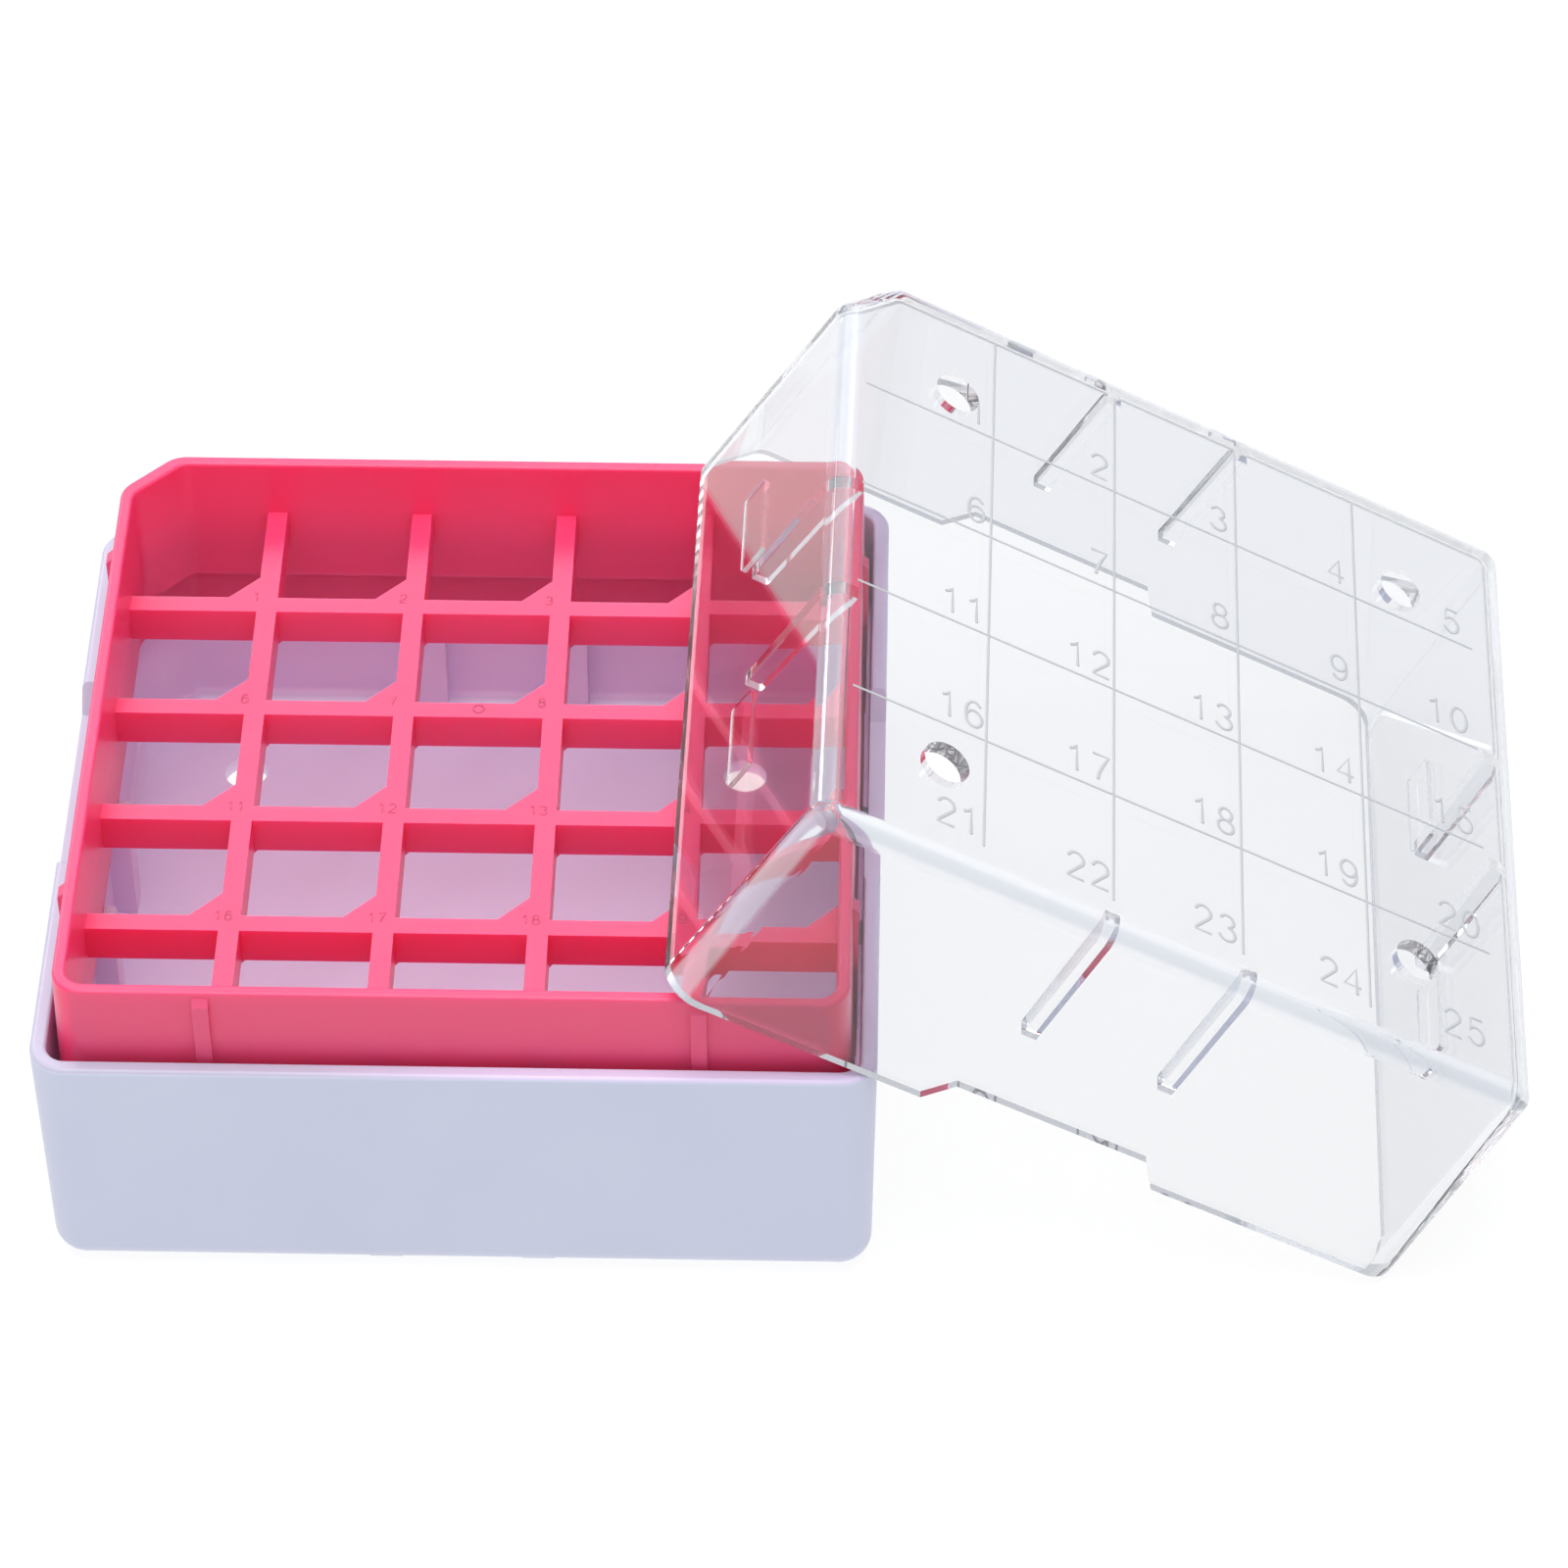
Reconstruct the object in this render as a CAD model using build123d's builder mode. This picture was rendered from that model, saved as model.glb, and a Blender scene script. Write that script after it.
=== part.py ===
from build123d import *
import os
from math import atan, cos, degrees, radians, sin, sqrt, tan

# Keyed cryogenic storage box for twenty-five upright vials, drawn at real size in millimetres.
# A white base holds a lift-out divider frame, and the clear lid lies off the box: its left side is
# raised over the frame, it leans on the right-hand rim of the base and its right rim is on the table.
# The origin is the middle of the base's underside. +Z is up, -Y is the front, and the corner that is
# cut off as the key is the back left one (-X, +Y).

# ---------------------------------------------------------------- driving dimensions
box_half = 38.0            # half of the outer side, at the rim where base and lid meet
key_cut = 6.4              # leg of the cut-off key corner, at the rim
corner_radius = 3.4        # upright corners at the rim

cell_count = 5             # cells along each side
cell_pitch = 14.04
divider_thick = 1.9

base_height = 26.5
base_draft = 0.4           # how much the base narrows from rim to underside, each side
base_wall = 1.5
base_bottom_radius = 2.8
base_lip_outer_radius = 0.5
base_lip_inner_radius = 0.3
base_notch_depth = 2.2     # finger notches in the left and right rims of the base
base_notch_half_mouth = 12.0
base_notch_half_floor = 9.7
hole_radius = 2.1          # drain holes in the floor
hole_offset = 25.1
ledge_height = 14.0        # ledges inside the base that carry the divider frame
ledge_half_width = 1.5
ledge_reach = 34.0         # inner face of a ledge, from the middle of the box

frame_top = 34.3           # rim of the divider frame, above the table
frame_half_top = 35.5
frame_half_bottom = 35.9
frame_key_cut = 5.0
frame_corner_radius = 2.8  # at the rim
frame_lip_radius = 0.3
divider_top = 28.3
divider_bottom = 24.4
frame_inner_rim = 34.35    # inner faces of the frame's wall, from the rim down to the skirt
frame_inner_divider = 34.15
frame_inner_step = 34.25
skirt_step = 20.0          # height where the wall thins to a skirt
skirt_inner_top = 35.05
skirt_inner_bottom = 35.15
gusset_leg = 2.8
boss_radius = 1.4          # round bosses under the divider crossings
boss_drop = 0.3
rib_offset = 22.1          # outer guide ribs, two on each wall of the frame
rib_half_width = 0.7
rib_face_top = 36.15
rib_face_bottom = 35.98
rib_top = 33.7
rib_slope = 0.6            # height of a rib's sloping head
rib_root = 35.2            # ribs start inside the frame's wall

lid_height = 26.0
lid_draft = 1.4            # how much the lid narrows from rim to top, each side
lid_wall = 1.2
lid_plate = 1.5
lid_top_radius = 2.0
lid_inner_radius = 1.2
lid_notch_depth = 2.8      # finger notches in the front and back rims of the lid
lid_notch_half_mouth = 12.0
lid_notch_half_floor = 9.8
vent_radius = 2.25
vent_offset = 24.4
fin_bottom = 10.6          # fins inside the lid that keep the frame down when the box is closed
fin_half_width = 0.75
fin_reach_bottom = 34.6
fin_reach_top = 33.4
fin_edge_radius = 0.3
bead_height = 10.1         # raised pads inside the lid's left and right walls
bead_length = 9.8
bead_rise = 3.6
bead_corner = 0.45
bead_thick = 0.5

lid_tilt = 28.8            # lean of the lid about Y: its right side is the low one
lid_yaw = -1.0             # slight turn of the lid about the upright
lid_lean_gap = 0.1         # between the lid and the corner of the base's rim
lid_shift_y = 0.5

# ---------------------------------------------------------------- derived sizes
first_divider = -(cell_count / 2 - 1) * cell_pitch
divider_lines = [first_divider + i * cell_pitch for i in range(cell_count - 1)]
inner_lines = divider_lines[1:-1]
cell_lines = [(i - (cell_count - 1) / 2) * cell_pitch for i in range(cell_count)]
cell_side = cell_pitch - divider_thick
wall_turns = [0, 90, 180, 270]


def slope(run, rise):
    """Draft angle in degrees of a face that leans in by run over a height of rise."""
    return degrees(atan(run / rise))


def inner_cut(cut, wall):
    """Leg of the key cut on the inside of a wall whose outside has the given cut."""
    return cut - (2 - sqrt(2)) * wall


def keyed_square(half, cut, radius):
    """Square outline with its back left corner cut off and all its corners rounded."""
    with BuildSketch(mode=Mode.PRIVATE) as outline:
        with BuildLine():
            FilletPolyline(
                (-half, -half), (half, -half), (half, half), (-half + cut, half), (-half, half - cut),
                radius=radius, close=True,
            )
        make_face()
    return outline.sketch


def wall_plane(turn, offset):
    """Upright plane square to a wall: its x runs out through the wall and its y is up."""
    out = (cos(radians(turn)), sin(radians(turn)), 0)
    along = (sin(radians(turn)), -cos(radians(turn)), 0)
    return Plane(origin=(0, 0, 0), x_dir=out, z_dir=along).offset(offset)


# ---------------------------------------------------------------- base
base_half_bottom = box_half - base_draft
with BuildPart() as base:
    with BuildSketch():
        add(keyed_square(base_half_bottom, inner_cut(key_cut, base_draft), corner_radius - base_draft))
    extrude(amount=base_height, taper=-slope(base_draft, base_height))
    fillet(base.faces().sort_by(Axis.Z)[0].edges(), base_bottom_radius)
    offset(amount=-base_wall, openings=base.faces().sort_by(Axis.Z)[-1])

    # rounded lip, then the finger notches through the left and right walls
    lip = base.faces().sort_by(Axis.Z)[-1]
    fillet(lip.outer_wire().edges(), base_lip_outer_radius)
    lip = base.faces().sort_by(Axis.Z)[-1]
    fillet(lip.inner_wires()[0].edges(), base_lip_inner_radius)
    with BuildSketch(Plane.YZ):
        with BuildLine():
            Polyline(
                (-base_notch_half_mouth, base_height),
                (-base_notch_half_floor, base_height - base_notch_depth),
                (base_notch_half_floor, base_height - base_notch_depth),
                (base_notch_half_mouth, base_height),
                close=True,
            )
        make_face()
    extrude(amount=2 * box_half, both=True, mode=Mode.SUBTRACT)

    # ledges on the walls, in line with the two middle dividers each way
    ledge_depth = base_half_bottom - base_wall / 2 - ledge_reach
    for turn in wall_turns:
        with BuildSketch(Plane.XY.offset(base_wall / 2)):
            with Locations(*[
                Location(Rotation(0, 0, turn)) * Location((ledge_reach + ledge_depth / 2, y, 0))
                for y in inner_lines
            ]):
                Rectangle(ledge_depth, 2 * ledge_half_width)
        extrude(amount=ledge_height - base_wall / 2)

    # drain holes through the floor
    with BuildSketch():
        with GridLocations(2 * hole_offset, 2 * hole_offset, 2, 2):
            Circle(hole_radius)
    extrude(amount=2 * base_wall, mode=Mode.SUBTRACT)

base.part.label = "base"

# ---------------------------------------------------------------- divider frame
frame_height = frame_top - ledge_height
frame_spread = frame_half_bottom - frame_half_top
frame_radius_bottom = frame_corner_radius + frame_spread
rim_wall = frame_half_top - frame_inner_rim
skirt_wall = frame_half_bottom - skirt_inner_bottom


def inside_frame(half):
    """Outline of the inside of the frame's wall above its skirt."""
    return keyed_square(half, inner_cut(frame_key_cut, rim_wall), frame_corner_radius - rim_wall)


with BuildPart() as divider_frame:
    with BuildSketch(Plane.XY.offset(ledge_height)):
        add(keyed_square(frame_half_bottom, frame_key_cut, frame_radius_bottom))
    extrude(amount=frame_height, taper=slope(frame_spread, frame_height))

    # hollow above the dividers, opening upwards
    with BuildSketch(Plane.XY.offset(divider_top)):
        add(inside_frame(frame_inner_divider))
    above_dividers = frame_top - divider_top
    extrude(amount=above_dividers, taper=-slope(frame_inner_rim - frame_inner_divider, above_dividers),
            mode=Mode.SUBTRACT)
    fillet(divider_frame.faces().sort_by(Axis.Z)[-1].edges(), frame_lip_radius)

    # hollow under the dividers, then the wider one inside the thin skirt
    with BuildSketch(Plane.XY.offset(skirt_step)):
        add(inside_frame(frame_inner_step))
    under_dividers = divider_bottom - skirt_step
    extrude(amount=under_dividers, taper=slope(frame_inner_step - frame_inner_divider, under_dividers),
            mode=Mode.SUBTRACT)
    with BuildSketch(Plane.XY.offset(ledge_height)):
        add(keyed_square(skirt_inner_bottom, inner_cut(frame_key_cut, skirt_wall),
                         frame_radius_bottom - skirt_wall))
    skirt_height = skirt_step - ledge_height
    extrude(amount=skirt_height, taper=slope(skirt_inner_bottom - skirt_inner_top, skirt_height),
            mode=Mode.SUBTRACT)

    # bosses under the crossings of the dividers
    with BuildSketch(Plane.XY.offset(divider_bottom - boss_drop)):
        with Locations(*[(x, y) for x in divider_lines for y in divider_lines]):
            Circle(boss_radius)
    extrude(amount=(divider_top - divider_bottom) / 2 + boss_drop)

    # the cells, each with a gusset in its front right corner except along the front row
    with BuildSketch(Plane.XY.offset(divider_bottom)):
        with GridLocations(cell_pitch, cell_pitch, cell_count, cell_count):
            Rectangle(cell_side, cell_side)
        with Locations(*[
            (x + cell_side / 2, y - cell_side / 2) for x in cell_lines for y in cell_lines[1:]
        ]):
            Polygon((0, 0), (0, gusset_leg), (-gusset_leg, 0), align=None, mode=Mode.SUBTRACT)
        with BuildSketch(Plane.XY.offset(divider_bottom), mode=Mode.INTERSECT):
            add(inside_frame(frame_inner_divider))
    extrude(amount=divider_top - divider_bottom, mode=Mode.SUBTRACT)

    # guide ribs outside the wall, with sloping heads
    for turn in wall_turns:
        for side in (-rib_offset, rib_offset):
            with BuildSketch(wall_plane(turn, side)):
                with BuildLine():
                    Polyline(
                        (rib_root, ledge_height), (rib_face_bottom, ledge_height),
                        (rib_face_top, rib_top - rib_slope), (frame_half_top, rib_top),
                        (rib_root, rib_top),
                        close=True,
                    )
                make_face()
            extrude(amount=rib_half_width, both=True)

divider_frame.part.label = "divider_frame"

# ---------------------------------------------------------------- lid, upright with its rim at height 0
lid_half_top = box_half - lid_draft
lid_taper = slope(lid_draft, lid_height)
cavity_half = box_half - lid_wall
cavity_height = lid_height - lid_plate
fin_root_bottom = box_half - lid_draft * fin_bottom / lid_height - lid_wall / 2
fin_root_top = box_half - lid_draft * cavity_height / lid_height - lid_wall / 2
with BuildPart() as lid:
    with BuildSketch():
        add(keyed_square(box_half, key_cut, corner_radius))
    extrude(amount=lid_height, taper=lid_taper)
    fillet(lid.faces().sort_by(Axis.Z)[-1].edges(), lid_top_radius)

    # hollow with softened upper corners
    with BuildPart(mode=Mode.PRIVATE) as cavity:
        with BuildSketch():
            add(keyed_square(cavity_half, inner_cut(key_cut, lid_wall), corner_radius - lid_wall / 2))
        extrude(amount=cavity_height, taper=lid_taper)
        fillet(cavity.faces().sort_by(Axis.Z)[-1].edges(), lid_inner_radius)
    add(cavity.part, mode=Mode.SUBTRACT)

    # finger notches through the front and back walls
    with BuildSketch(Plane.XZ):
        with BuildLine():
            Polyline(
                (-lid_notch_half_mouth, 0), (-lid_notch_half_floor, lid_notch_depth),
                (lid_notch_half_floor, lid_notch_depth), (lid_notch_half_mouth, 0),
                close=True,
            )
        make_face()
    extrude(amount=2 * box_half, both=True, mode=Mode.SUBTRACT)

    # vents through the top plate
    with BuildSketch(Plane.XY.offset(cavity_height - lid_wall)):
        with GridLocations(2 * vent_offset, 2 * vent_offset, 2, 2):
            Circle(vent_radius)
    extrude(amount=lid_plate + 2 * lid_wall, mode=Mode.SUBTRACT)

    # fins on the inside of each wall, hanging from the top plate in line with the middle dividers
    for turn in wall_turns:
        for line in inner_lines:
            with BuildSketch(wall_plane(turn, line)):
                with BuildLine():
                    FilletPolyline(
                        (fin_root_bottom, fin_bottom), (fin_reach_bottom, fin_bottom),
                        (fin_reach_top, cavity_height + lid_plate / 2), (fin_root_top, cavity_height),
                        radius=fin_edge_radius, close=True,
                    )
                make_face()
            extrude(amount=fin_half_width, both=True)

    # pads inside the left and right walls that snap over the rim of the divider frame
    for turn in (0, 180):
        pad_wall = box_half - lid_draft * bead_height / lid_height - lid_wall
        pad_plane = Plane(
            origin=Vector(pad_wall * cos(radians(turn)), 0, bead_height),
            x_dir=(0, 1, 0), z_dir=(-cos(radians(turn)), 0, -sin(radians(lid_taper))),
        )
        with BuildSketch(pad_plane.offset(-lid_wall / 2)):
            with Locations((-cell_pitch, 0), (cell_pitch, 0)):
                RectangleRounded(bead_length, bead_rise, bead_corner)
        extrude(amount=lid_wall / 2 + bead_thick)

# the lid leans on the right rim of the base and stands on the table along its own right rim
lean = radians(lid_tilt)
lid_centre_z = box_half * sin(lean)
lid_centre_x = box_half + lid_lean_gap + (base_height - lid_centre_z) / tan(lean)
lid_place = Location((lid_centre_x, lid_shift_y, lid_centre_z))
lid.part.location = lid_place * Rotation(0, 0, lid_yaw) * Rotation(0, lid_tilt, 0)
lid.part.label = "lid"

# ---------------------------------------------------------------- files
os.makedirs("parts", exist_ok=True)
for piece in (base, divider_frame, lid):
    export_step(piece.part, f"parts/{piece.part.label}.step")
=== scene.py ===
import math

import bpy
from mathutils import Matrix, Vector


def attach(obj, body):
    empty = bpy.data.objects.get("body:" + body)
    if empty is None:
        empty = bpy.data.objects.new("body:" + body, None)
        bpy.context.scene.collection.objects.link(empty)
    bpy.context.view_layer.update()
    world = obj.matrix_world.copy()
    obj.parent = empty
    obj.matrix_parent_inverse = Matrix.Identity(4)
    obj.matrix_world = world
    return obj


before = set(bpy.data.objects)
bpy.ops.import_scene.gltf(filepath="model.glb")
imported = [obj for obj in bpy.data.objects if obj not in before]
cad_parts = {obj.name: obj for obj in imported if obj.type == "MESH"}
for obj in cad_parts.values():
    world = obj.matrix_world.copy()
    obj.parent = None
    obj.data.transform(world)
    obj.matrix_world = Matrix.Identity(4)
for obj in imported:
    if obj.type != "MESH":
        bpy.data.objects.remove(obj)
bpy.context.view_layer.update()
MM = 0.001

# ---------------------------------------------------------------- the lid's own axes
# The lid lies tilted over the box. Its own origin is the middle of its rim, and its own Z points
# out through its top plate, so the raised marks are placed in these axes.
BOX_HALF = 38.0
BASE_HEIGHT = 26.5
LID_HEIGHT = 26.0
LID_TILT = math.radians(28.8)
LID_YAW = math.radians(-1.0)
LEAN_GAP = 0.1
LID_Y = 0.5
lid_z = BOX_HALF * math.sin(LID_TILT)
lid_x = BOX_HALF + LEAN_GAP + (BASE_HEIGHT - lid_z) / math.tan(LID_TILT)
lid_axes = (
    Matrix.Scale(MM, 4)
    @ Matrix.Translation((lid_x, LID_Y, lid_z))
    @ Matrix.Rotation(LID_YAW, 4, "Z")
    @ Matrix.Rotation(LID_TILT, 4, "Y")
)
box_axes = Matrix.Scale(MM, 4)


# ---------------------------------------------------------------- materials
# Base colours, matched to the photograph at sample points under the lights below.
BASE_TONES = [(0.590, 0.615, 0.762), (0.610, 0.635, 0.777)]
# painted pink bounce light, brighter than the plastic, for the base's inner walls
BASE_WALLS_PAINTED_BOUNCE = (0.830, 0.705, 0.930)
# painted shade with pink bounce light, for faces of the base that look up
BASE_UPWARD_SHADE_AND_BOUNCE = (0.695, 0.605, 0.820)
# painted shade for the top of the base's rim on the left
BASE_LEFT_RIM_PAINTED_SHADE = (0.500, 0.480, 0.610)
FRAME_TONES = [(0.905, 0.053, 0.168), (0.930, 0.061, 0.183)]
# painted shade and a painted pale reflection for the frame's outer faces
FRAME_OUTSIDE_SHADE_AND_REFLECTION = (0.725, 0.076, 0.190)
LID_TONE = (0.902, 0.910, 0.928)
# painted highlight and painted reflection for the lid's left corners and top-plate edges
LID_EDGE_HIGHLIGHT_TONE = (0.82, 0.85, 0.90)
# painted shade for the dark line along the lid's bend
LID_BEND_PAINTED_SHADE = (0.68, 0.715, 0.77)
MARK_TONE = (0.59, 0.60, 0.63)

BASE_ROUGHNESS = (0.30, 0.38)
FRAME_ROUGHNESS = (0.28, 0.36)
MOULDED_IOR = 1.49
LID_IOR = 1.38
MARK_IOR = 1.2

# Sizes of the patterns, as noise scales, and heights of the relief in millimetres.
WIDE_SCALE = 55.0
FINE_SCALE = 2600.0
WIDE_RELIEF = 0.02
FINE_RELIEF = 0.006
LID_FLOW_SCALE = 38.0

# Where the painted light and shade start and end, in millimetres along the piece's own axes. A
# band whose end is below its start runs the other way.
FRAME_OUTSIDE_BAND = (35.1, 35.5)
BASE_RIM_HEIGHT = (15.0, 18.0)
BASE_RIM_LEFT = (10.0, -20.0)
LID_EDGE_REACH = (34.3, 35.3)
LID_EDGE_HEIGHT = (23.8, 24.8)
LID_CORNER_REACH = (73.4, 73.8)
LID_CORNER_LEFT = (0.0, -1.0)
LID_WALL_TAPER = 0.077
LID_BEND_REACH = (61.25, 61.5)
LID_EDGE_SHARE = 0.6
LID_CLARITY = (0.99, 0.62)

# Where a face counts as looking outwards or down, and where as looking up, by its normal.
OUTWARD_BAND = (0.1, 0.4)
UPWARD_BAND = (0.4, 0.7)

# Sockets of a Mix node that mixes colours.
MIX_FACTOR, MIX_FROM, MIX_TO, MIX_RESULT = 0, 6, 7, 2


def material(name):
    mat = bpy.data.materials.new(name)
    mat.use_nodes = True
    shader = mat.node_tree.nodes["Principled BSDF"]
    return mat, mat.node_tree, shader


def node(tree, kind, **settings):
    made = tree.nodes.new(kind)
    for key, value in settings.items():
        if key in made.inputs:
            made.inputs[key].default_value = value
        else:
            setattr(made, key, value)
    return made


def surface_detail(tree, shader, colours, rough):
    """Moulded plastic: slow drifts of tone and gloss, and two sizes of very shallow relief."""
    coords = node(tree, "ShaderNodeTexCoord")
    wide = node(tree, "ShaderNodeTexNoise", Scale=WIDE_SCALE, Detail=3.0, Roughness=0.55)
    fine = node(tree, "ShaderNodeTexNoise", Scale=FINE_SCALE, Detail=6.0, Roughness=0.6)
    for texture in (wide, fine):
        tree.links.new(coords.outputs["Object"], texture.inputs["Vector"])
    tone = node(tree, "ShaderNodeValToRGB")
    tone.color_ramp.elements[0].color = (*colours[0], 1)
    tone.color_ramp.elements[0].position = 0.3
    tone.color_ramp.elements[1].color = (*colours[1], 1)
    tone.color_ramp.elements[1].position = 0.7
    tree.links.new(wide.outputs["Fac"], tone.inputs["Fac"])
    tree.links.new(tone.outputs["Color"], shader.inputs["Base Color"])
    gloss = node(tree, "ShaderNodeMapRange")
    gloss.inputs["From Min"].default_value = 0.3
    gloss.inputs["From Max"].default_value = 0.7
    gloss.inputs["To Min"].default_value = rough[0]
    gloss.inputs["To Max"].default_value = rough[1]
    tree.links.new(fine.outputs["Fac"], gloss.inputs["Value"])
    tree.links.new(gloss.outputs["Result"], shader.inputs["Roughness"])
    low = node(tree, "ShaderNodeBump", Strength=1.0, Distance=WIDE_RELIEF * MM)
    high = node(tree, "ShaderNodeBump", Strength=1.0, Distance=FINE_RELIEF * MM)
    tree.links.new(wide.outputs["Fac"], low.inputs["Height"])
    tree.links.new(fine.outputs["Fac"], high.inputs["Height"])
    tree.links.new(low.outputs["Normal"], high.inputs["Normal"])
    tree.links.new(high.outputs["Normal"], shader.inputs["Normal"])


def band(tree, value, start, end):
    """A soft step: 0 where the value is at start or before it, 1 where it is past end."""
    step = node(tree, "ShaderNodeMapRange", interpolation_type="SMOOTHSTEP")
    step.inputs["From Min"].default_value = start
    step.inputs["From Max"].default_value = end
    tree.links.new(value, step.inputs["Value"])
    return step.outputs["Result"]


def feed(tree, made, values):
    """Give a node's inputs in turn a socket or a plain value each."""
    for socket, value in zip(made.inputs, values):
        if isinstance(value, bpy.types.NodeSocket):
            tree.links.new(value, socket)
        else:
            socket.default_value = value


def math_node(tree, operation, *values):
    made = node(tree, "ShaderNodeMath", operation=operation)
    feed(tree, made, values)
    return made.outputs["Value"]


def vector_node(tree, operation, *values):
    made = node(tree, "ShaderNodeVectorMath", operation=operation)
    feed(tree, made, values)
    return made.outputs["Value" if operation in ("DOT_PRODUCT", "LENGTH") else "Vector"]


def local_axes(tree, axes):
    """x, y and z in millimetres along a piece's own axes."""
    back = axes.inverted()
    coords = node(tree, "ShaderNodeTexCoord")
    turn = node(tree, "ShaderNodeMapping", Location=back.to_translation(),
                Scale=(1 / MM, 1 / MM, 1 / MM), Rotation=back.to_euler())
    parts = node(tree, "ShaderNodeSeparateXYZ")
    tree.links.new(coords.outputs["Object"], turn.inputs["Vector"])
    tree.links.new(turn.outputs["Vector"], parts.inputs["Vector"])
    return [parts.outputs[axis] for axis in "XYZ"]


def tint_where(tree, shader, mask, colour):
    """Blend the base colour towards another colour under a mask."""
    blend = node(tree, "ShaderNodeMix", data_type="RGBA")
    for link in list(shader.inputs["Base Color"].links):
        tree.links.new(link.from_socket, blend.inputs[MIX_FROM])
    blend.inputs[MIX_FROM].default_value = shader.inputs["Base Color"].default_value
    blend.inputs[MIX_TO].default_value = (*colour, 1)
    tree.links.new(mask, blend.inputs[MIX_FACTOR])
    tree.links.new(blend.outputs[MIX_RESULT], shader.inputs["Base Color"])


def soft_inside(shader, weight, radius, scale):
    """Light that sinks into the plastic and comes out nearby; the scale is in millimetres."""
    shader.inputs["IOR"].default_value = MOULDED_IOR
    shader.inputs["Subsurface Weight"].default_value = weight
    shader.inputs["Subsurface Radius"].default_value = radius
    shader.inputs["Subsurface Scale"].default_value = scale * MM


def white_plastic():
    mat, tree, shader = material("base_white")
    surface_detail(tree, shader, BASE_TONES, BASE_ROUGHNESS)
    # painted light: the inside takes a rosy tint in place of pink light bounced off the frame, and
    # its walls are painted brighter than the plastic; faces that look outwards or down have none
    coords = node(tree, "ShaderNodeTexCoord").outputs["Object"]
    normal = node(tree, "ShaderNodeNewGeometry").outputs["Normal"]
    outward = vector_node(tree, "NORMALIZE", vector_node(tree, "MULTIPLY", coords, (1, 1, 0)))
    facing_out = vector_node(tree, "DOT_PRODUCT", outward, normal)
    facing_down = vector_node(tree, "DOT_PRODUCT", normal, (0, 0, -1))
    outside = band(tree, math_node(tree, "MAXIMUM", facing_out, facing_down), *OUTWARD_BAND)
    painted_bounce_mask = math_node(tree, "SUBTRACT", 1.0, outside)
    tint_where(tree, shader, painted_bounce_mask, BASE_WALLS_PAINTED_BOUNCE)
    # faces that look up take a darker lavender-pink instead, painted shade under the frame with
    # its pink bounce light, and the left part of the rim takes painted shade in plain lavender
    parts = node(tree, "ShaderNodeSeparateXYZ")
    tree.links.new(normal, parts.inputs["Vector"])
    upward = band(tree, parts.outputs["Z"], *UPWARD_BAND)
    tint_where(tree, shader, upward, BASE_UPWARD_SHADE_AND_BOUNCE)
    right, _, up = local_axes(tree, box_axes)
    # painted shade on the rim top on the left
    rim_shade_mask = math_node(tree, "MULTIPLY", upward, band(tree, up, *BASE_RIM_HEIGHT))
    rim_shade_mask = math_node(tree, "MULTIPLY", rim_shade_mask, band(tree, right, *BASE_RIM_LEFT))
    tint_where(tree, shader, rim_shade_mask, BASE_LEFT_RIM_PAINTED_SHADE)
    soft_inside(shader, 0.12, (1.0, 0.95, 1.0), 1.2)
    return mat


def pink_plastic():
    mat, tree, shader = material("frame_pink")
    surface_detail(tree, shader, FRAME_TONES, FRAME_ROUGHNESS)
    # painted light: the outer faces are painted darker and paler, as painted shade with a painted
    # pale reflection of the floor and base
    right, back, _ = local_axes(tree, box_axes)
    across, along = [math_node(tree, "ABSOLUTE", axis) for axis in (right, back)]
    outside = band(tree, math_node(tree, "MAXIMUM", across, along), *FRAME_OUTSIDE_BAND)
    tint_where(tree, shader, outside, FRAME_OUTSIDE_SHADE_AND_REFLECTION)
    soft_inside(shader, 0.6, (1.0, 0.22, 0.32), 3.5)
    return mat


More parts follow.
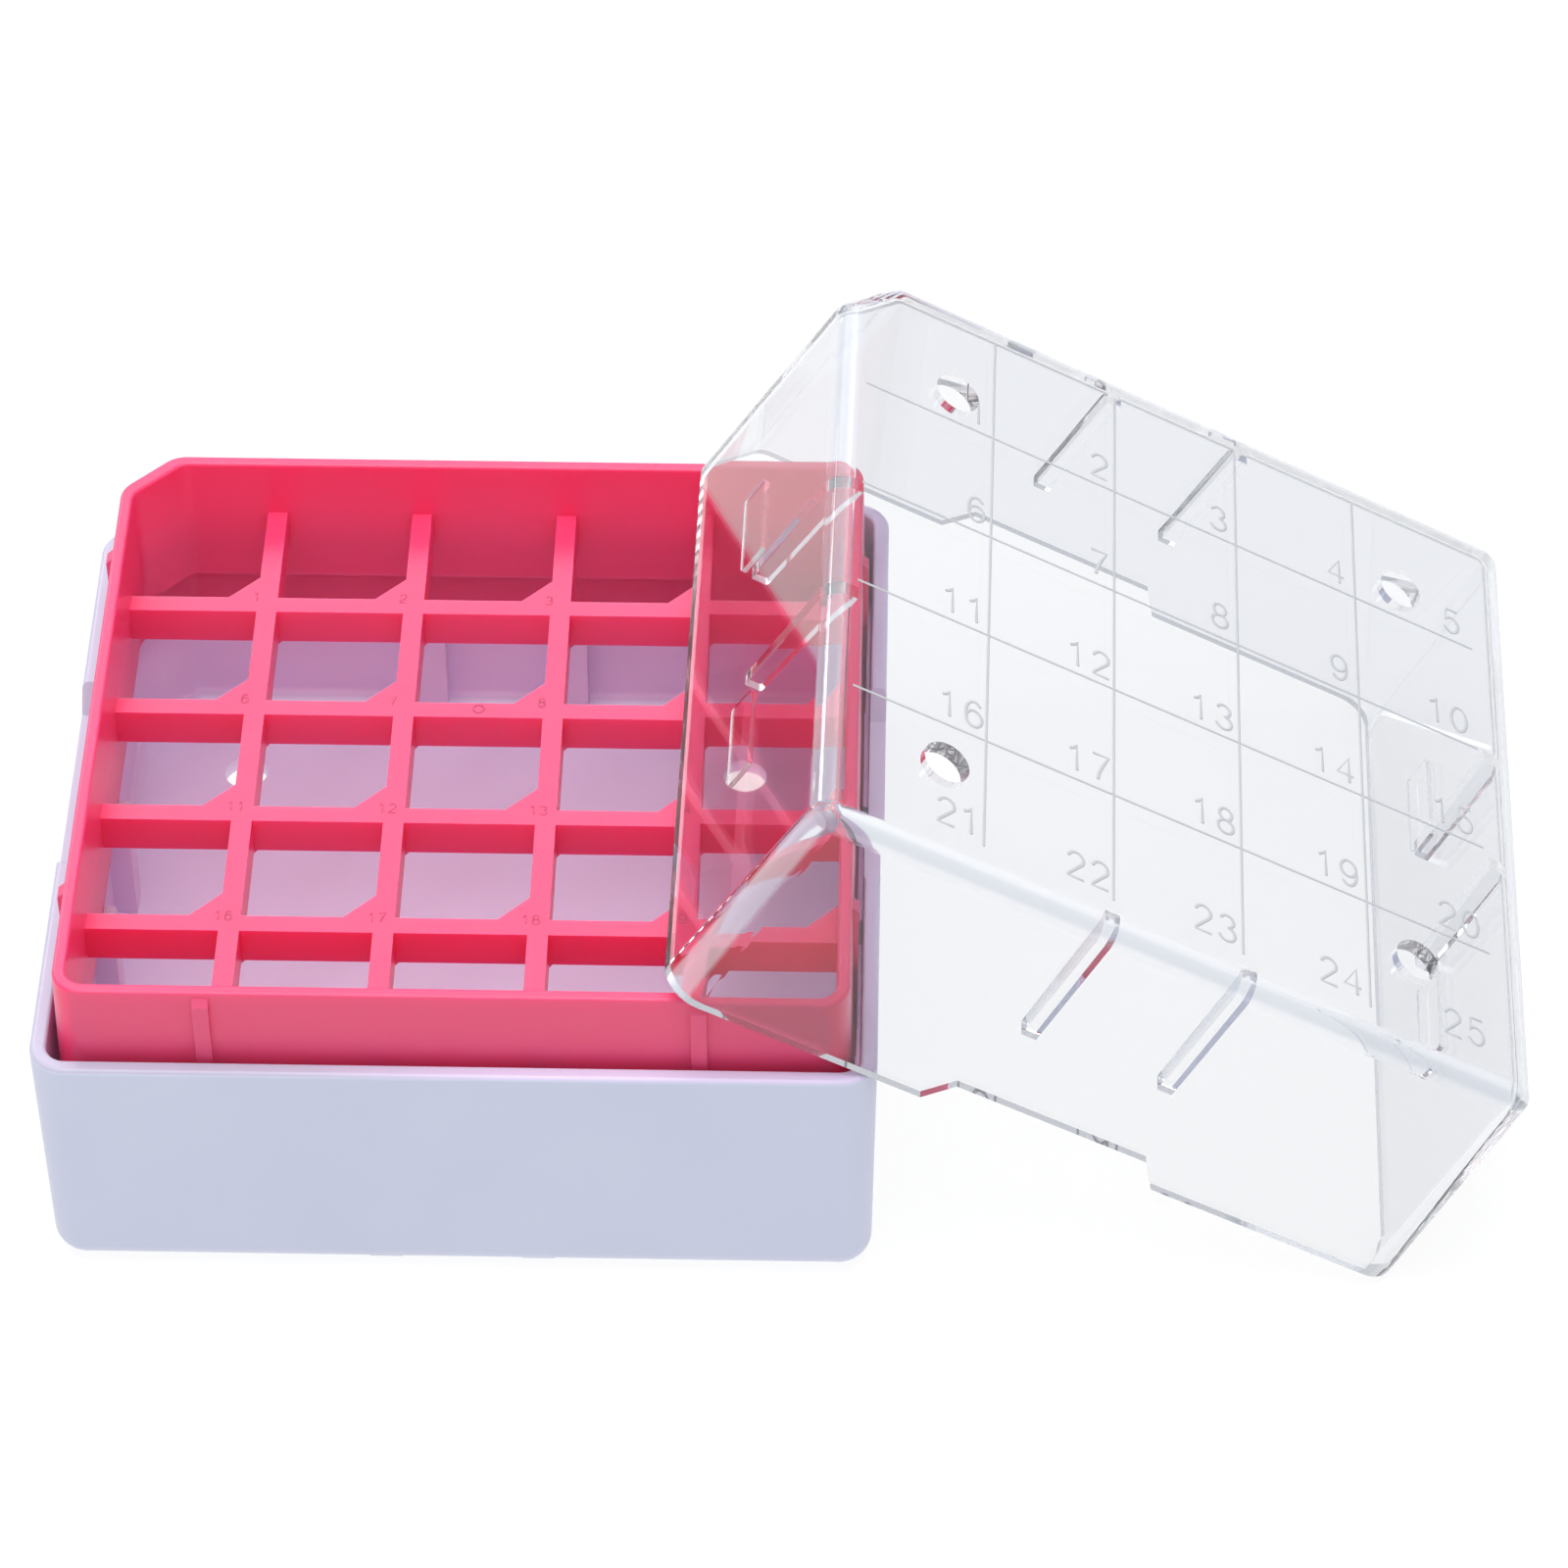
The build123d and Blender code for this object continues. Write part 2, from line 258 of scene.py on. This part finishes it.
def clear_plastic():
    mat, tree, shader = material("lid_clear")
    coords = node(tree, "ShaderNodeTexCoord")
    flow = node(tree, "ShaderNodeTexNoise", Scale=LID_FLOW_SCALE, Detail=2.0, Roughness=0.5)
    tree.links.new(coords.outputs["Object"], flow.inputs["Vector"])
    bump = node(tree, "ShaderNodeBump", Strength=1.0, Distance=WIDE_RELIEF * MM)
    tree.links.new(flow.outputs["Fac"], bump.inputs["Height"])
    tree.links.new(bump.outputs["Normal"], shader.inputs["Normal"])
    shader.inputs["Base Color"].default_value = (*LID_TONE, 1)
    shader.inputs["Roughness"].default_value = 0.015
    shader.inputs["IOR"].default_value = LID_IOR
    # painted light: a painted highlight up the left corners and a painted light-grey reflection
    # along the edges of the top plate, where the lid is also made slightly less clear
    right, back, up = local_axes(tree, lid_axes)
    across, along = [math_node(tree, "ABSOLUTE", axis) for axis in (right, back)]
    widest = math_node(tree, "MAXIMUM", across, along)
    edge = math_node(tree, "MULTIPLY", band(tree, widest, *LID_EDGE_REACH),
                     band(tree, up, *LID_EDGE_HEIGHT))
    diagonal = math_node(tree, "MULTIPLY_ADD", up, LID_WALL_TAPER,
                         math_node(tree, "ADD", across, along))
    painted_corner_highlight = math_node(tree, "MULTIPLY", band(tree, diagonal, *LID_CORNER_REACH),
                       band(tree, right, *LID_CORNER_LEFT))
    painted_edge_reflection = math_node(tree, "MULTIPLY", edge, LID_EDGE_SHARE)
    painted_shine = math_node(tree, "MAXIMUM", painted_edge_reflection, painted_corner_highlight)
    tint_where(tree, shader, painted_shine, LID_EDGE_HIGHLIGHT_TONE)
    # painted shade: a darker line painted along the bend between the walls and the top plate, in
    # place of the dark edge its refraction shows
    painted_bend_shade = band(tree, math_node(tree, "ADD", widest, up), *LID_BEND_REACH)
    tint_where(tree, shader, painted_bend_shade, LID_BEND_PAINTED_SHADE)
    clarity = node(tree, "ShaderNodeMapRange")
    clarity.inputs["To Min"].default_value = LID_CLARITY[0]
    clarity.inputs["To Max"].default_value = LID_CLARITY[1]
    tree.links.new(painted_shine, clarity.inputs["Value"])
    tree.links.new(clarity.outputs["Result"], shader.inputs["Transmission Weight"])
    return mat


def frosted_mark():
    mat, _, shader = material("lid_marks")
    shader.inputs["Base Color"].default_value = (*MARK_TONE, 1)
    shader.inputs["Roughness"].default_value = 0.5
    shader.inputs["IOR"].default_value = MARK_IOR
    shader.inputs["Transmission Weight"].default_value = 0.25
    return mat


WHITE = white_plastic()
PINK = pink_plastic()
CLEAR = clear_plastic()
MARKS = frosted_mark()
for name, mat in (("base", WHITE), ("divider_frame", PINK), ("lid", CLEAR)):
    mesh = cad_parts[name].data
    mesh.materials.clear()
    mesh.materials.append(mat)


# ---------------------------------------------------------------- raised marks
def arc(cx, cy, rx, ry, start, end, steps=14):
    """Points along part of an ellipse, angles in degrees, counter-clockwise if end > start."""
    angles = [math.radians(start + (end - start) * i / steps) for i in range(steps + 1)]
    return [(cx + rx * math.cos(a), cy + ry * math.sin(a)) for a in angles]


# Each digit is one or two strokes in a cell 0.58 wide and 1 high.
DIGIT_WIDTH, DIGIT_STEP = 0.58, 0.80
DIGITS = {
    "0": [arc(0.29, 0.5, 0.27, 0.5, 90, 450, 28)],
    "1": [[(0.06, 0.80), (0.20, 0.87), (0.30, 1.0), (0.30, 0.0)]],
    "2": [arc(0.29, 0.73, 0.25, 0.27, 168, -28)
          + [(0.30, 0.36), (0.05, 0.08), (0.03, 0.0), (0.56, 0.0)]],
    "3": [arc(0.28, 0.765, 0.22, 0.235, 160, -80) + arc(0.28, 0.265, 0.265, 0.265, 78, -165)],
    "4": [[(0.43, 0.0), (0.43, 1.0), (0.01, 0.30), (0.58, 0.30)]],
    "5": [[(0.52, 1.0), (0.13, 1.0), (0.07, 0.50)] + arc(0.28, 0.33, 0.26, 0.33, 132, -160)],
    "6": [arc(0.30, 0.52, 0.27, 0.48, 42, 180, 12) + arc(0.30, 0.32, 0.26, 0.32, 180, 540, 26)],
    "7": [[(0.03, 1.0), (0.56, 1.0), (0.36, 0.60), (0.24, 0.25), (0.20, 0.0)]],
    "8": [arc(0.29, 0.765, 0.21, 0.235, -90, 270, 22), arc(0.29, 0.265, 0.26, 0.265, 90, 450, 26)],
    "9": [arc(0.28, 0.48, 0.27, 0.48, 222, 360, 12) + arc(0.28, 0.68, 0.26, 0.32, 0, 360, 26)],
}


def number_strokes(text, x, y, height):
    """Strokes of a number whose middle is at x, y."""
    width = (DIGIT_STEP * (len(text) - 1) + DIGIT_WIDTH) * height
    strokes = []
    for i, digit in enumerate(text):
        left = x - width / 2 + i * DIGIT_STEP * height
        for stroke in DIGITS[digit]:
            strokes.append(
                [(left + px * height, y + (py - 0.5) * height) for px, py in stroke]
            )
    return strokes


def ridges(name, strokes, level, half_width, rise, axes, mat, body):
    """Low ridges of round section along flat strokes, lying on a face at the given height."""
    curve = bpy.data.curves.new(name, "CURVE")
    curve.dimensions = "3D"
    curve.bevel_depth = half_width
    curve.bevel_resolution = 2
    curve.use_fill_caps = True
    for stroke in strokes:
        closed = math.dist(stroke[0], stroke[-1]) < 1e-6
        points = stroke[:-1] if closed else stroke
        spline = curve.splines.new("POLY")
        spline.points.add(len(points) - 1)
        for point, (x, y) in zip(spline.points, points):
            point.co = (x, y, 0, 1)
        spline.use_cyclic_u = closed
    source = bpy.data.objects.new(name + "_curve", curve)
    bpy.context.scene.collection.objects.link(source)
    mesh = bpy.data.meshes.new_from_object(source)
    mesh.name = name
    bpy.data.objects.remove(source)
    flatten = Matrix.Diagonal((1, 1, rise / half_width, 1))
    mesh.transform(axes @ Matrix.Translation((0, 0, level)) @ flatten)
    for polygon in mesh.polygons:
        polygon.use_smooth = True
    mesh.materials.clear()
    mesh.materials.append(mat)
    piece = bpy.data.objects.new(name, mesh)
    bpy.context.scene.collection.objects.link(piece)
    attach(piece, body)


# Grid on the lid: four lines each way, with the places numbered 1 to 25. A number of two digits
# stands further left than one of one digit, here and on the frame.
COLUMN_LINES = [-20.55, -7.45, 5.85, 19.10]
ROW_LINES = [20.28, 6.70, -6.28, -19.77]
LINE_BACK, LINE_FRONT = 33.5, -32.8
LINE_LEFT, LINE_RIGHT = -34.0, 32.3
lines = [[(x, LINE_FRONT), (x, LINE_BACK)] for x in COLUMN_LINES]
lines += [[(LINE_LEFT, y), (LINE_RIGHT, y)] for y in ROW_LINES]
MARK_RISE = 0.05
LINE_HALF_WIDTH = 0.14
ridges("lid_grid_lines", lines, LID_HEIGHT, LINE_HALF_WIDTH, MARK_RISE, lid_axes, MARKS,
       "lid")

PLACES, PER_ROW = 25, 5
NUMBER_HEIGHT, NUMBER_HALF_WIDTH = 3.1, 0.17
MIDDLE_X, MIDDLE_Y = 3.95, -3.75
STEP_X, STEP_Y = 13.05, 13.33
numbers = []
for place in range(PLACES):
    row, column = divmod(place, PER_ROW)
    text = str(place + 1)
    x = MIDDLE_X + (column - 2) * STEP_X - (0.95 if len(text) == 2 else 0.0)
    y = MIDDLE_Y - (row - 2) * STEP_Y
    numbers += number_strokes(text, x, y, NUMBER_HEIGHT)
ridges("lid_place_numbers", numbers, LID_HEIGHT, NUMBER_HALF_WIDTH, MARK_RISE, lid_axes, MARKS,
       "lid")

# Tiny cell numbers on the gussets of the divider frame, four to a row, and a small ring such as
# a moulding gate leaves.
DIVIDER_TOP = 28.3
CELL_PITCH = 14.0
NUMBERED_PLACES = 20
CELL_NUMBER_HEIGHT, CELL_NUMBER_HALF_WIDTH = 1.15, 0.09
RING_Y, RING_RADIUS, RING_HALF_WIDTH, RING_RISE = 7.2, 0.5, 0.10, 0.06
cell_numbers = []
for place in range(NUMBERED_PLACES):
    row, column = divmod(place, PER_ROW)
    text = str(place + 1)
    x = (column - 1.5) * CELL_PITCH - (0.7 if len(text) == 2 else 1.1)
    y = (1.5 - row) * CELL_PITCH + (0.9 if len(text) == 2 else 1.15)
    if column < PER_ROW - 1:
        cell_numbers += number_strokes(text, x, y, CELL_NUMBER_HEIGHT)
ridges("frame_cell_numbers", cell_numbers, DIVIDER_TOP, CELL_NUMBER_HALF_WIDTH, MARK_RISE,
       box_axes, PINK, "divider_frame")
ridges("frame_gate_ring", [arc(0, RING_Y, RING_RADIUS, RING_RADIUS, 0, 360, 24)], DIVIDER_TOP,
       RING_HALF_WIDTH, RING_RISE, box_axes, PINK, "divider_frame")

# ---------------------------------------------------------------- floor, light and camera
# A floor that glows a little by itself, less so far out.
FLOOR_REACH = 3.0
FLOOR_DROP = 0.0001
FLOOR_TONE = 0.12
GLOW_DISTANCE = (0.18, 0.60)
GLOW_STRENGTH = (0.89, 0.76)
floor_mesh = bpy.data.meshes.new("floor")
corners = [(-1, -1), (1, -1), (1, 1), (-1, 1)]
corners = [(x * FLOOR_REACH, y * FLOOR_REACH, 0) for x, y in corners]
floor_mesh.from_pydata(corners, [], [(0, 1, 2, 3)])
floor = bpy.data.objects.new("floor", floor_mesh)
floor.location.z = -FLOOR_DROP
bpy.context.scene.collection.objects.link(floor)
floor_mat, floor_tree, floor_shader = material("floor")
floor_shader.inputs["Base Color"].default_value = (FLOOR_TONE, FLOOR_TONE, FLOOR_TONE, 1)
floor_shader.inputs["Roughness"].default_value = 0.9
floor_shader.inputs["Specular IOR Level"].default_value = 0.1
floor_shader.inputs["Emission Color"].default_value = (1.0, 1.0, 1.0, 1)
spot = node(floor_tree, "ShaderNodeNewGeometry").outputs["Position"]
glow = node(floor_tree, "ShaderNodeMapRange", interpolation_type="SMOOTHSTEP")
glow.inputs["From Min"].default_value, glow.inputs["From Max"].default_value = GLOW_DISTANCE
glow.inputs["To Min"].default_value, glow.inputs["To Max"].default_value = GLOW_STRENGTH
floor_tree.links.new(vector_node(floor_tree, "LENGTH", spot), glow.inputs["Value"])
floor_tree.links.new(glow.outputs["Result"], floor_shader.inputs["Emission Strength"])
floor_mesh.materials.append(floor_mat)

# The studio's walls are a little dimmer in front and below than overhead, behind and beside.
FRONT_TONE = (0.56, 0.57, 0.60)
ROUND_TONE = (0.66, 0.68, 0.71)
TOWARDS_BACK = (0, 0.85, 0.53)
DIMMEST, BRIGHT_FROM = -0.6, 0.30
world = bpy.data.worlds.new("studio")
world.use_nodes = True
sky = world.node_tree
direction = node(sky, "ShaderNodeTexCoord").outputs["Generated"]
shade = node(sky, "ShaderNodeValToRGB")
shade.color_ramp.elements[0].color = (*FRONT_TONE, 1)
shade.color_ramp.elements[0].position = 0.0
shade.color_ramp.elements[1].color = (*ROUND_TONE, 1)
shade.color_ramp.elements[1].position = BRIGHT_FROM
lift = node(sky, "ShaderNodeMapRange")
lift.inputs["From Min"].default_value = DIMMEST
sky.links.new(vector_node(sky, "DOT_PRODUCT", direction, TOWARDS_BACK), lift.inputs["Value"])
sky.links.new(lift.outputs["Result"], shade.inputs["Fac"])
sky.links.new(shade.outputs["Color"], sky.nodes["Background"].inputs["Color"])
bpy.context.scene.world = world


def softbox(name, position, aim, width, depth, power):
    """A rectangular lamp of this size in metres and power in watts, turned to a point."""
    data = bpy.data.lights.new(name, "AREA")
    data.shape = "RECTANGLE"
    data.size, data.size_y = width, depth
    data.energy = power
    lamp = bpy.data.objects.new(name, data)
    lamp.location = position
    lamp.rotation_euler = (Vector(aim) - Vector(position)).to_track_quat("-Z", "Y").to_euler()
    bpy.context.scene.collection.objects.link(lamp)


middle = Vector((0.03, 0, 0.02))
softbox("overhead", (0.0, -0.05, 0.80), middle, 0.5, 0.5, 4.1)
softbox("camera_side", (0.05, -0.55, 0.78), middle, 0.6, 0.5, 0.6)
softbox("back_window", (-0.05, 0.80, 0.80), middle, 0.9, 0.4, 2.4)
softbox("edge_strip", (-0.45, 0.65, 0.60), middle, 0.10, 0.35, 1.6)

# The camera stands in front, looking down at about 45 degrees through a long lens.
PITCH, YAW, ROLL = math.radians(-45.008), math.radians(-1.366), math.radians(-0.165)
CAMERA_PLACE = (38.516, -404.691, 430.996)
SENSOR_WIDTH, FOCAL_LENGTH = 36.0, 140.79
camera_data = bpy.data.cameras.new("camera")
camera_data.sensor_width = SENSOR_WIDTH
camera_data.lens = FOCAL_LENGTH
camera_data.clip_start = 0.01
camera = bpy.data.objects.new("camera", camera_data)
camera.matrix_world = (
    Matrix.Translation(Vector(CAMERA_PLACE) * MM)
    @ Matrix.Rotation(-YAW, 4, "Z")
    @ Matrix.Rotation(math.pi / 2 + PITCH, 4, "X")
    @ Matrix.Rotation(ROLL, 4, "Z")
)
bpy.context.scene.collection.objects.link(camera)
bpy.context.scene.camera = camera

# The clear lid turns black along its edges with few bounces.
cycles = bpy.context.scene.cycles
cycles.max_bounces = 64
cycles.transmission_bounces = 48
cycles.glossy_bounces = 48
cycles.transparent_max_bounces = 16

view = bpy.context.scene.view_settings
view.view_transform = "Standard"
view.look = "None"

bpy.context.view_layer.update()
